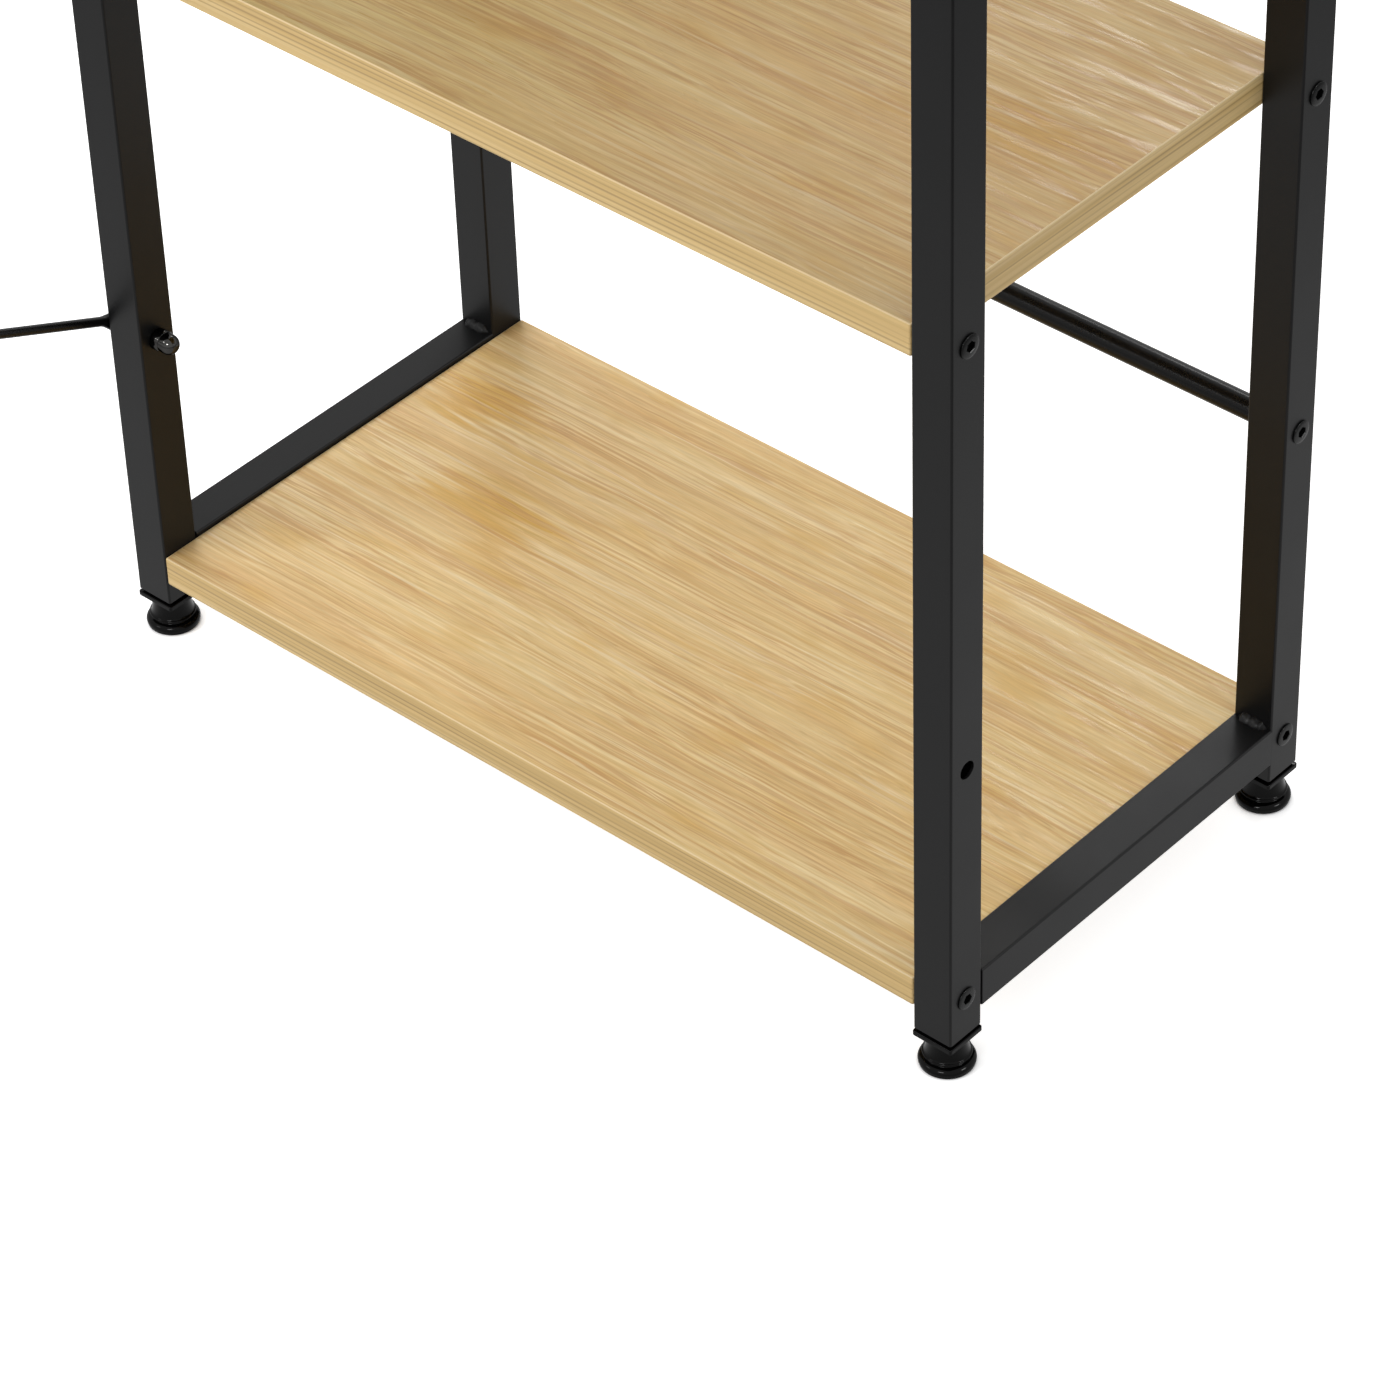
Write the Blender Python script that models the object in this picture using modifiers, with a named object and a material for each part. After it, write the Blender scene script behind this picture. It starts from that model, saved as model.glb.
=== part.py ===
"""Shelf tower of a small desk: two welded square-tube side frames that carry three oak-faced boards.

Units are metres, +Z is up.  The front is -Y and the left is -X.  The tower stands on four screwed
levelling feet, and a flat-ended tie link leaves its front left leg towards a neighbouring frame.
"""
from math import cos, pi, radians, sin, sqrt

import bmesh
import bpy
from mathutils import Matrix, Vector

# Overall sizes
TOWER_LENGTH = 0.480
TOWER_DEPTH = 0.238
LOWER_SHELF_TOP = 0.047
BAY_HEIGHT = 0.317

# Clearances between pieces that touch
FIT_GAP = 0.0003
SHELF_END_GAP = 0.0005

# Square tube of the side frames
TUBE_SIZE = 0.020
TUBE_WALL = 0.0012
TUBE_CORNER_RADIUS = 0.0010
SMALLEST_CORNER = 0.0002
CORNER_SEGMENTS = 3
RAIL_ABOVE_SHELF = 0.0022

# Boards
BOARD_THICKNESS = 0.015
BOARD_EDGE_RADIUS = 0.0005

# Socket-head bolts and the threaded sleeves that they enter
BOLT_DIAMETER = 0.006
BOLT_HEAD_DIAMETER = 0.0106
BOLT_HEAD_HEIGHT = 0.0011
BOLT_HEAD_ROUNDING = 0.0004
HEX_KEY_SIZE = 0.004
HEX_SOCKET_DEPTH = 0.0024
SLEEVE_DIAMETER = 0.0085
SLEEVE_LENGTH = 0.013
SHELF_BOLT_GRIP = 0.011
SHELF_BOLT_RISE = 0.0015

# Round stretcher between the two back legs
STRETCHER_DIAMETER = 0.011
STRETCHER_BORE_DEPTH = 0.016
STRETCHER_BOLT_GRIP = 0.012

# Tie link with a flattened eye at each end, its bolt and its cap nut
TIE_HOLE_HEIGHT = 0.1645
TIE_HOLE_DIAMETER = 0.008
TIE_DIAMETER = 0.0045
TIE_LENGTH = 0.095
TIE_RISE = radians(24)
EYE_DIAMETER = 0.012
EYE_THICKNESS = 0.002
EYE_NECK_LENGTH = 0.011
EYE_START_ANGLE = radians(165)
EYE_NECK_ANGLE = radians(60)
EYE_FLATNESS = 3.0
TIE_STATIONS = 4
NUT_ACROSS_FLATS = 0.010
NUT_HEIGHT = 0.0118
NUT_HEX_HEIGHT = 0.0045
NUT_DOME_DIAMETER = 0.0095
NUT_BORE_DEPTH = 0.008
NUT_THREAD_GRIP = 0.0065

# Screws that hold the top board down on the top rails
SCREW_DIAMETER = 0.004
SCREW_HEAD_DIAMETER = 0.008
SCREW_HEAD_HEIGHT = 0.002
SCREW_GRIP = 0.010
SCREW_SPACING = 0.120

# Square foot plugs pressed into the leg ends
PLUG_FLANGE_OVERHANG = 0.0005
PLUG_FLANGE_THICKNESS = 0.0026
PLUG_NECK_HEIGHT = 0.0015
PLUG_FLANGE_ROUNDING = 0.0008
PLUG_LENGTH = 0.016

# Turned levelling feet and their studs
FOOT_HEIGHT = 0.0155
FOOT_COLLAR_RADIUS = 0.0089
FOOT_FLARE_RADIUS = 0.0107
FOOT_FLARE_HEIGHT = 0.0069
FOOT_GROOVE_DEPTH = 0.0009
FOOT_GROOVE_HEIGHT = 0.0024
FOOT_RIM_RADIUS = 0.01245
FOOT_RIM_ROUNDING = 0.0022
FOOT_SOLE_RADIUS = 0.0118
FOOT_CURVE_STEPS = 5
STUD_DIAMETER = 0.006
STUD_SEAT_HEIGHT = 0.003
STUD_REACH = 0.013

# Facets round a turned piece
FOOT_SIDES = 24
BOLT_SIDES = 16
ROD_SIDES = 24
HOLE_SIDES = 16

# Levels worked out from the sizes above
LOWER_SHELF_MIDDLE = LOWER_SHELF_TOP - BOARD_THICKNESS / 2
SHELF_PITCH = BAY_HEIGHT + BOARD_THICKNESS
MIDDLE_SHELF_MIDDLE = LOWER_SHELF_MIDDLE + SHELF_PITCH
TOP_BOARD_MIDDLE = MIDDLE_SHELF_MIDDLE + SHELF_PITCH
STRETCHER_HEIGHT = (LOWER_SHELF_MIDDLE + MIDDLE_SHELF_MIDDLE) / 2
PLUG_FLANGE_BOTTOM = FOOT_HEIGHT + FIT_GAP
PLUG_FLANGE_TOP = PLUG_FLANGE_BOTTOM + PLUG_FLANGE_THICKNESS
LEG_BOTTOM = PLUG_FLANGE_TOP + PLUG_NECK_HEIGHT
LEG_TOP = TOP_BOARD_MIDDLE - BOARD_THICKNESS / 2 - FIT_GAP
LEG_LENGTH = LEG_TOP - LEG_BOTTOM
LEG_MIDDLE = (LEG_TOP + LEG_BOTTOM) / 2
BOTTOM_RAIL_MIDDLE = LOWER_SHELF_TOP + RAIL_ABOVE_SHELF - TUBE_SIZE / 2
TOP_RAIL_MIDDLE = LEG_TOP - TUBE_SIZE / 2

# Places in plan, from the middle of the tower
LEG_X = (TOWER_LENGTH - TUBE_SIZE) / 2
LEG_Y = (TOWER_DEPTH - TUBE_SIZE) / 2
SHELF_LENGTH = TOWER_LENGTH - 2 * (TUBE_SIZE + SHELF_END_GAP)
SIDES = {"left": -1, "right": 1}
ENDS = {"front": -1, "back": 1}

# Holes
BOLT_HOLE_DIAMETER = BOLT_DIAMETER + 2 * FIT_GAP
SCREW_HOLE_DIAMETER = SCREW_DIAMETER + 2 * FIT_GAP
SLEEVE_HOLE_DIAMETER = SLEEVE_DIAMETER + 2 * FIT_GAP
STUD_HOLE_DIAMETER = STUD_DIAMETER + 2 * FIT_GAP

# The origin is under the middle of everything, with the tie link and the bolt heads counted
TIE_OUTWARD = FIT_GAP + TIE_DIAMETER
TIE_FORWARD = TIE_LENGTH * cos(TIE_RISE) + EYE_DIAMETER / 2 - TUBE_SIZE / 2
FOOT_OUTWARD = max(PLUG_FLANGE_OVERHANG, FOOT_RIM_RADIUS - TUBE_SIZE / 2)
RIGHT_OUTWARD = max(FIT_GAP + BOLT_HEAD_HEIGHT, FOOT_OUTWARD)
ORIGIN_SHIFT = Vector(((TIE_OUTWARD - RIGHT_OUTWARD) / 2, (TIE_FORWARD - FOOT_OUTWARD) / 2, 0))

TURN_TO_X = Matrix.Rotation(pi / 2, 4, "Y")


def clear_scene():
    for item in list(bpy.data.objects):
        bpy.data.objects.remove(item, do_unlink=True)


def new_collection(name):
    collection = bpy.data.collections.new(name)
    bpy.context.scene.collection.children.link(collection)
    return collection


def new_material(name, colour, roughness, metallic):
    material = bpy.data.materials.new(name)
    material.use_nodes = True
    shader = material.node_tree.nodes["Principled BSDF"]
    shader.inputs["Base Color"].default_value = (*colour, 1)
    shader.inputs["Roughness"].default_value = roughness
    shader.inputs["Metallic"].default_value = metallic
    return material


clear_scene()
PARTS = new_collection("shelf_tower")
CUTTERS = new_collection("shelf_tower_cutters")
PAINT = new_material("black_powder_coat", (0.030, 0.030, 0.031), 0.42, 0.0)
OAK = new_material("oak_laminate", (0.64, 0.47, 0.23), 0.45, 0.0)
PLASTIC = new_material("black_plastic", (0.010, 0.010, 0.010), 0.30, 0.0)
BLACK_STEEL = new_material("black_bolt_steel", (0.022, 0.022, 0.023), 0.38, 0.6)
BLACK_CHROME = new_material("black_chrome", (0.10, 0.10, 0.105), 0.12, 1.0)
ZINC = new_material("zinc_sleeve", (0.55, 0.55, 0.54), 0.40, 1.0)

TOWER = bpy.data.objects.new("tower", None)
TOWER.location = ORIGIN_SHIFT
PARTS.objects.link(TOWER)


def mesh_from(shape, name):
    """Turn a finished bmesh into a mesh, smooth but for its sharp edges."""
    mesh = bpy.data.meshes.new(name)
    bmesh.ops.recalc_face_normals(shape, faces=shape.faces)
    shape.to_mesh(mesh)
    shape.free()
    mesh.shade_smooth()
    mesh.set_sharp_from_angle(angle=radians(35))
    return mesh


def add_part(name, mesh, material, location=(0, 0, 0), turn=None, parent=TOWER):
    part = bpy.data.objects.new(name, mesh)
    part.data.materials.append(material)
    part.location = location
    if turn is not None:
        part.rotation_euler = turn.to_euler()
    part.parent = parent
    PARTS.objects.link(part)
    return part


def add_helper(name, mesh, location=(0, 0, 0), parent=TOWER):
    """A shape that only cuts or joins another: it is shown as wires and never rendered."""
    helper = bpy.data.objects.new(name, mesh)
    helper.location = location
    helper.parent = parent
    helper.hide_render = True
    helper.display_type = "WIRE"
    CUTTERS.objects.link(helper)
    return helper


def combine(part, helper, operation):
    modifier = part.modifiers.new(helper.name, "BOOLEAN")
    modifier.operation = operation
    modifier.object = helper


def block_shape(size, radius=0.0, along=None, segments=CORNER_SEGMENTS):
    """A box with its edges rounded: all of them, or those that run along one axis."""
    shape = bmesh.new()
    bmesh.ops.create_cube(shape, size=1)
    bmesh.ops.scale(shape, vec=size, verts=shape.verts)
    edges = list(shape.edges)
    if along is not None:
        spans = [abs((edge.verts[0].co - edge.verts[1].co)[along]) for edge in edges]
        edges = [edge for edge, span in zip(edges, spans) if span > size[along] / 2]
    if radius > 0:
        bmesh.ops.bevel(shape, geom=edges, offset=radius, segments=segments, profile=0.5, affect="EDGES")
    return shape


def add_cylinder(shape, diameter, length, place, sides=HOLE_SIDES):
    """Add a closed cylinder to a shape, standing on Z before the given placing matrix."""
    bmesh.ops.create_cone(shape, cap_ends=True, segments=sides, radius1=diameter / 2,
                          radius2=diameter / 2, depth=length, matrix=place)


def cross_holes(name, holes, length, location=(0, 0, 0)):
    """A cutter of cylinders along X, for (diameter, y, z) in holes."""
    shape = bmesh.new()
    for diameter, y, z in holes:
        add_cylinder(shape, diameter, length, Matrix.Translation((0, y, z)) @ TURN_TO_X)
    return add_helper(name, mesh_from(shape, name), location)


def turned_mesh(name, profile, closed=False):
    """A mesh of profile edges at +X, running down the outer side, ready for the Screw modifier."""
    mesh = bpy.data.meshes.new(name)
    count = len(profile)
    links = [(i, i + 1) for i in range(count - 1)]
    if closed:
        links.append((count - 1, 0))
    mesh.from_pydata([(radius, 0, height) for radius, height in profile], links, [])
    return mesh


def revolve(part, sides):
    screw = part.modifiers.new("revolve", "SCREW")
    screw.steps = sides
    screw.render_steps = sides
    screw.use_merge_vertices = True
    screw.merge_threshold = 0.00001


def arc(centre, radius, start, stop, steps):
    """Points on an arc in the profile plane, from one angle to another."""
    points = []
    for step in range(steps + 1):
        angle = start + (stop - start) * step / steps
        points.append((centre[0] + radius * cos(angle), centre[1] + radius * sin(angle)))
    return points


# Side frames: square tubes welded into two upright rectangles

def add_tube(name, length, along, location):
    """A square tube, open at both ends, that runs along the given axis."""
    outer_size = [TUBE_SIZE] * 3
    outer_size[along] = length
    inner_size = [TUBE_SIZE - 2 * TUBE_WALL] * 3
    inner_size[along] = length + TUBE_SIZE
    inner_radius = max(TUBE_CORNER_RADIUS - TUBE_WALL, SMALLEST_CORNER)
    outer = mesh_from(block_shape(outer_size, TUBE_CORNER_RADIUS, along), name)
    inner = mesh_from(block_shape(inner_size, inner_radius, along, 2), name + "_inside")
    tube = add_part(name, outer, PAINT, location)
    combine(tube, add_helper(name + "_inside", inner, location), "DIFFERENCE")
    return tube


def leg_holes(end):
    """The (diameter, height) of each hole that is drilled through a leg along X."""
    holes = [(BOLT_HOLE_DIAMETER, middle + SHELF_BOLT_RISE)
             for middle in (LOWER_SHELF_MIDDLE, MIDDLE_SHELF_MIDDLE)]
    if end == "back":
        holes.append((BOLT_HOLE_DIAMETER, STRETCHER_HEIGHT))
    else:
        holes.append((TIE_HOLE_DIAMETER, TIE_HOLE_HEIGHT))
    return holes


def add_side_frames():
    rail_length = TOWER_DEPTH - 2 * (TUBE_SIZE + FIT_GAP)
    for side, across in SIDES.items():
        for end, along in ENDS.items():
            name = f"leg_{end}_{side}"
            leg = add_tube(name, LEG_LENGTH, 2, (across * LEG_X, along * LEG_Y, LEG_MIDDLE))
            holes = [(diameter, 0, height) for diameter, height in leg_holes(end)]
            drill = cross_holes(name + "_holes", holes, 2 * TUBE_SIZE, (across * LEG_X, along * LEG_Y, 0))
            combine(leg, drill, "DIFFERENCE")
        add_tube(f"bottom_rail_{side}", rail_length, 1, (across * LEG_X, 0, BOTTOM_RAIL_MIDDLE))
        top_rail = add_tube(f"top_rail_{side}", rail_length, 1, (across * LEG_X, 0, TOP_RAIL_MIDDLE))
        shape = bmesh.new()
        for along in ENDS.values():
            add_cylinder(shape, SCREW_HOLE_DIAMETER, 2 * TUBE_SIZE,
                         Matrix.Translation((0, along * SCREW_SPACING / 2, 0)))
        name = f"top_rail_{side}_holes"
        drill = add_helper(name, mesh_from(shape, name), (across * LEG_X, 0, TOP_RAIL_MIDDLE))
        combine(top_rail, drill, "DIFFERENCE")


# Boards: two shelves held between the frames by end bolts, and a top board that lies on the frames

def add_shelf(name, middle):
    size = (SHELF_LENGTH, TOWER_DEPTH, BOARD_THICKNESS)
    board = mesh_from(block_shape(size, BOARD_EDGE_RADIUS, segments=1), name)
    shelf = add_part(name, board, OAK, (0, 0, middle))
    shape = bmesh.new()
    depth = SLEEVE_LENGTH + 2 * FIT_GAP
    for across in SIDES.values():
        for along in ENDS.values():
            end = (across * SHELF_LENGTH / 2, along * LEG_Y, SHELF_BOLT_RISE)
            add_cylinder(shape, SLEEVE_HOLE_DIAMETER, 2 * depth, Matrix.Translation(end) @ TURN_TO_X)
    bores = add_helper(name + "_bores", mesh_from(shape, name + "_bores"), (0, 0, middle))
    combine(shelf, bores, "DIFFERENCE")


def add_top_board():
    name = "top_board"
    size = (TOWER_LENGTH, TOWER_DEPTH, BOARD_THICKNESS)
    outline = mesh_from(block_shape(size, BOARD_EDGE_RADIUS, segments=1), name)
    board = add_part(name, outline, OAK, (0, 0, TOP_BOARD_MIDDLE))
    shape = bmesh.new()
    depth = SCREW_GRIP + FIT_GAP
    for across in SIDES.values():
        for along in ENDS.values():
            place = Matrix.Translation((across * LEG_X, along * SCREW_SPACING / 2, -BOARD_THICKNESS / 2))
            add_cylinder(shape, SCREW_HOLE_DIAMETER, 2 * depth, place)
    bores = add_helper(name + "_bores", mesh_from(shape, name + "_bores"), (0, 0, TOP_BOARD_MIDDLE))
    combine(board, bores, "DIFFERENCE")


# Fasteners

def headed_profile(shank_diameter, shank_length, head_diameter, head_height, rounding):
    """Profile of a round-headed bolt with the underside of its head at height 0."""
    head = head_diameter / 2
    crown = arc((head - rounding, head_height - rounding), rounding, pi / 2, 0, 3)
    shank = shank_diameter / 2
    return [(0, head_height), *crown, (head, 0), (shank, 0), (shank, -shank_length), (0, -shank_length)]


def add_bolt(name, shank_length, location, outward):
    """A socket-head bolt along X whose head faces outward: -1 to the left, 1 to the right."""
    profile = headed_profile(BOLT_DIAMETER, shank_length, BOLT_HEAD_DIAMETER, BOLT_HEAD_HEIGHT,
                             BOLT_HEAD_ROUNDING)
    turn = Matrix.Rotation(outward * pi / 2, 4, "Y")
    bolt = add_part(name, turned_mesh(name, profile), BLACK_STEEL, location, turn)
    revolve(bolt, BOLT_SIDES)
    shape = bmesh.new()
    add_cylinder(shape, 2 * HEX_KEY_SIZE / sqrt(3), 2 * HEX_SOCKET_DEPTH,
                 Matrix.Translation((0, 0, BOLT_HEAD_HEIGHT)), 6)
    combine(bolt, add_helper(name + "_socket", mesh_from(shape, name + "_socket"), parent=bolt), "DIFFERENCE")


def add_sleeve(name, location):
    """A threaded sleeve along X, sunk into the end of a shelf."""
    half = SLEEVE_LENGTH / 2
    outer = SLEEVE_DIAMETER / 2
    inner = BOLT_HOLE_DIAMETER / 2
    profile = [(outer, half), (outer, -half), (inner, -half), (inner, half)]
    sleeve = add_part(name, turned_mesh(name, profile, closed=True), ZINC, location, TURN_TO_X)
    revolve(sleeve, BOLT_SIDES)


def add_shelf_fasteners(shelf, middle):
    for side, across in SIDES.items():
        for end, along in ENDS.items():
            place = (across * (TOWER_LENGTH / 2 + FIT_GAP), along * LEG_Y, middle + SHELF_BOLT_RISE)
            length = FIT_GAP + TUBE_SIZE + SHELF_END_GAP + SHELF_BOLT_GRIP
            add_bolt(f"{shelf}_bolt_{end}_{side}", length, place, across)
            inner_x = across * ((SHELF_LENGTH - SLEEVE_LENGTH) / 2 - FIT_GAP)
            add_sleeve(f"{shelf}_sleeve_{end}_{side}", (inner_x, along * LEG_Y, middle + SHELF_BOLT_RISE))


def add_top_screws():
    for side, across in SIDES.items():
        for end, along in ENDS.items():
            name = f"top_screw_{end}_{side}"
            length = FIT_GAP + TUBE_SIZE + FIT_GAP + SCREW_GRIP
            profile = headed_profile(SCREW_DIAMETER, length, SCREW_HEAD_DIAMETER, SCREW_HEAD_HEIGHT,
                                     SCREW_HEAD_HEIGHT / 2)
            place = (across * LEG_X, along * SCREW_SPACING / 2, LEG_TOP - TUBE_SIZE - FIT_GAP)
            head_down = Matrix.Rotation(pi, 4, "X")
            screw = add_part(name, turned_mesh(name, profile), BLACK_STEEL, place, head_down)
            revolve(screw, BOLT_SIDES)


# Round stretcher, bolted through the two back legs into its tapped ends

def add_stretcher():
    name = "stretcher"
    length = TOWER_LENGTH - 2 * (TUBE_SIZE + FIT_GAP)
    place = (0, LEG_Y, STRETCHER_HEIGHT)
    shape = bmesh.new()
    add_cylinder(shape, STRETCHER_DIAMETER, length, TURN_TO_X, ROD_SIDES)
    rod = add_part(name, mesh_from(shape, name), PAINT, place)
    shape = bmesh.new()
    for across in SIDES.values():
        end = Matrix.Translation((across * length / 2, 0, 0)) @ TURN_TO_X
        add_cylinder(shape, BOLT_HOLE_DIAMETER, 2 * STRETCHER_BORE_DEPTH, end)
    combine(rod, add_helper(name + "_bores", mesh_from(shape, name + "_bores"), place), "DIFFERENCE")
    for side, across in SIDES.items():
        head = (across * (TOWER_LENGTH / 2 + FIT_GAP), LEG_Y, STRETCHER_HEIGHT)
        grip = FIT_GAP + TUBE_SIZE + FIT_GAP + STRETCHER_BOLT_GRIP
        add_bolt(f"stretcher_bolt_{side}", grip, head, across)


# Tie link: a round rod whose ends are pressed flat and pierced, with its bolt and cap nut

def tie_sections():
    """(distance, half width, half thickness, flatness) of each section, from eye end to eye end."""
    eye = EYE_DIAMETER / 2
    flat = EYE_THICKNESS / 2
    rod = TIE_DIAMETER / 2
    near_end = []
    for step in range(TIE_STATIONS + 1):
        angle = EYE_START_ANGLE + (EYE_NECK_ANGLE - EYE_START_ANGLE) * step / TIE_STATIONS
        near_end.append((eye * cos(angle), eye * sin(angle), flat, EYE_FLATNESS))
    neck_start, neck_width = near_end[-1][:2]
    for step in range(1, TIE_STATIONS + 1):
        ease = (1 - cos(pi * step / TIE_STATIONS)) / 2
        near_end.append((neck_start + EYE_NECK_LENGTH * step / TIE_STATIONS,
                         neck_width * (1 - ease) + rod * ease,
                         flat * (1 - ease) + rod * ease,
                         EYE_FLATNESS * (1 - ease) + ease))
    far_end = [(TIE_LENGTH - section[0], *section[1:]) for section in reversed(near_end)]
    return near_end + far_end


def add_tie_link():
    """Loft the link along its own X, with Y pointing away from the leg that it lies against."""
    name = "tie_link"
    shape = bmesh.new()
    rings = []
    for distance, width, thick, flatness in tie_sections():
        ring = []
        for step in range(BOLT_SIDES):
            angle = 2 * pi * (step + 0.5) / BOLT_SIDES
            rise = max(-1, min(1, flatness * cos(angle)))
            ring.append(shape.verts.new((distance, thick + thick * rise, width * sin(angle))))
        rings.append(ring)
    for first, second in zip(rings, rings[1:]):
        for step in range(BOLT_SIDES):
            after = (step + 1) % BOLT_SIDES
            shape.faces.new((first[step], first[after], second[after], second[step]))
    shape.faces.new(rings[0])
    shape.faces.new(rings[-1])
    reach = Vector((0, -cos(TIE_RISE), sin(TIE_RISE)))
    outward = Vector((-1, 0, 0))
    turn = Matrix((reach, outward, reach.cross(outward))).transposed()
    place = (-TOWER_LENGTH / 2 - FIT_GAP, -LEG_Y, TIE_HOLE_HEIGHT)
    link = add_part(name, mesh_from(shape, name), PAINT, place, turn)
    holes = bmesh.new()
    for distance in (0, TIE_LENGTH):
        across = Matrix.Translation((distance, 0, 0)) @ Matrix.Rotation(pi / 2, 4, "X")
        add_cylinder(holes, BOLT_HOLE_DIAMETER, 4 * EYE_THICKNESS, across)
    combine(link, add_helper(name + "_holes", mesh_from(holes, name + "_holes"), parent=link), "DIFFERENCE")


def add_cap_nut(location):
    """A hexagon nut with a closed round cap, facing +X."""
    name = "tie_cap_nut"
    shape = bmesh.new()
    add_cylinder(shape, 2 * NUT_ACROSS_FLATS / sqrt(3), NUT_HEX_HEIGHT,
                 Matrix.Translation((0, 0, NUT_HEX_HEIGHT / 2)), 6)
    nut = add_part(name, mesh_from(shape, name), BLACK_CHROME, location, TURN_TO_X)
    dome = NUT_DOME_DIAMETER / 2
    centre = NUT_HEIGHT - dome
    profile = [*arc((0, centre), dome, pi / 2, 0, FOOT_CURVE_STEPS), (dome, NUT_HEX_HEIGHT / 2),
               (0, NUT_HEX_HEIGHT / 2)]
    cap = add_helper(name + "_cap", turned_mesh(name + "_cap", profile), parent=nut)
    revolve(cap, BOLT_SIDES)
    combine(nut, cap, "UNION")
    bore = bmesh.new()
    add_cylinder(bore, BOLT_HOLE_DIAMETER, 2 * NUT_BORE_DEPTH, Matrix())
    combine(nut, add_helper(name + "_bore", mesh_from(bore, name + "_bore"), parent=nut), "DIFFERENCE")


def add_tie_fasteners():
    head_x = -TOWER_LENGTH / 2 - EYE_THICKNESS - 2 * FIT_GAP
    grip = EYE_THICKNESS + TUBE_SIZE + 3 * FIT_GAP + NUT_THREAD_GRIP
    add_bolt("tie_bolt", grip, (head_x, -LEG_Y, TIE_HOLE_HEIGHT), SIDES["left"])
    add_cap_nut((-TOWER_LENGTH / 2 + TUBE_SIZE + FIT_GAP, -LEG_Y, TIE_HOLE_HEIGHT))


# Levelling feet

def add_foot_plug(name, x, y):
    """A square plug pressed into a leg's lower end, with a neck and a flange that show below the tube."""
    flange_size = TUBE_SIZE + 2 * PLUG_FLANGE_OVERHANG
    shape = block_shape((flange_size, flange_size, PLUG_FLANGE_THICKNESS), TUBE_CORNER_RADIUS, 2)
    rim = [edge for edge in shape.edges if abs(edge.verts[0].co.z - edge.verts[1].co.z) < FIT_GAP]
    bmesh.ops.bevel(shape, geom=rim, offset=PLUG_FLANGE_ROUNDING, segments=2, profile=0.5, affect="EDGES")
    place = (x, y, PLUG_FLANGE_TOP - PLUG_FLANGE_THICKNESS / 2)
    plug = add_part(name, mesh_from(shape, name), PLASTIC, place)
    body_size = TUBE_SIZE - 2 * (TUBE_WALL + FIT_GAP)
    body_radius = max(TUBE_CORNER_RADIUS - TUBE_WALL, SMALLEST_CORNER)
    half_flange = PLUG_FLANGE_THICKNESS / 2
    body = block_shape((body_size, body_size, PLUG_LENGTH + half_flange), body_radius, 2, 2)
    middle = PLUG_FLANGE_TOP + (PLUG_LENGTH - half_flange) / 2
    combine(plug, add_helper(name + "_body", mesh_from(body, name + "_body"), (x, y, middle)), "UNION")
    bore = bmesh.new()
    add_cylinder(bore, STUD_HOLE_DIAMETER, 3 * (PLUG_LENGTH + PLUG_FLANGE_THICKNESS), Matrix())
    combine(plug, add_helper(name + "_bore", mesh_from(bore, name + "_bore"), place), "DIFFERENCE")


def foot_profile():
    """A trumpet foot: collar, hollow flare, groove, rounded rim and sole, with a blind stud seat."""
    seat = STUD_HOLE_DIAMETER / 2
    points = [(0, STUD_SEAT_HEIGHT), (seat, STUD_SEAT_HEIGHT), (seat, FOOT_HEIGHT)]
    for step in range(FOOT_CURVE_STEPS + 1):
        angle = pi / 2 * step / FOOT_CURVE_STEPS
        radius = FOOT_COLLAR_RADIUS + (FOOT_FLARE_RADIUS - FOOT_COLLAR_RADIUS) * (1 - cos(angle))
        points.append((radius, FOOT_HEIGHT - (FOOT_HEIGHT - FOOT_FLARE_HEIGHT) * sin(angle)))
    groove = FOOT_FLARE_RADIUS - FOOT_GROOVE_DEPTH
    points.append((groove, FOOT_FLARE_HEIGHT - FOOT_GROOVE_HEIGHT / 2))
    rim_top = FOOT_FLARE_HEIGHT - FOOT_GROOVE_HEIGHT
    points.append((groove, rim_top))
    rim_centre = (FOOT_RIM_RADIUS - FOOT_RIM_ROUNDING, rim_top - FOOT_RIM_ROUNDING)
    points += arc(rim_centre, FOOT_RIM_ROUNDING, radians(60), radians(-25), FOOT_CURVE_STEPS)
    points += [(FOOT_SOLE_RADIUS, 0), (0, 0)]
    return points


def add_feet():
    for side, across in SIDES.items():
        for end, along in ENDS.items():
            x = across * LEG_X
            y = along * LEG_Y
            add_foot_plug(f"foot_plug_{end}_{side}", x, y)
            name = f"foot_base_{end}_{side}"
            base = add_part(name, turned_mesh(name, foot_profile()), PLASTIC, (x, y, 0))
            revolve(base, FOOT_SIDES)
            bottom = STUD_SEAT_HEIGHT + FIT_GAP
            top = PLUG_FLANGE_TOP + STUD_REACH
            shape = bmesh.new()
            add_cylinder(shape, STUD_DIAMETER, top - bottom, Matrix.Translation((0, 0, (top + bottom) / 2)))
            name = f"foot_stud_{end}_{side}"
            add_part(name, mesh_from(shape, name), ZINC, (x, y, 0))


add_side_frames()
add_shelf("lower_shelf", LOWER_SHELF_MIDDLE)
add_shelf("middle_shelf", MIDDLE_SHELF_MIDDLE)
add_top_board()
add_shelf_fasteners("lower_shelf", LOWER_SHELF_MIDDLE)
add_shelf_fasteners("middle_shelf", MIDDLE_SHELF_MIDDLE)
add_top_screws()
add_stretcher()
add_tie_link()
add_tie_fasteners()
add_feet()
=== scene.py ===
"""Looks of the desk shelf tower: satin black square tube, oak-print boards, small black hardware."""
from math import cos, pi, radians, sin, sqrt

import bmesh
import bpy
from mathutils import Matrix, Vector, noise


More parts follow.
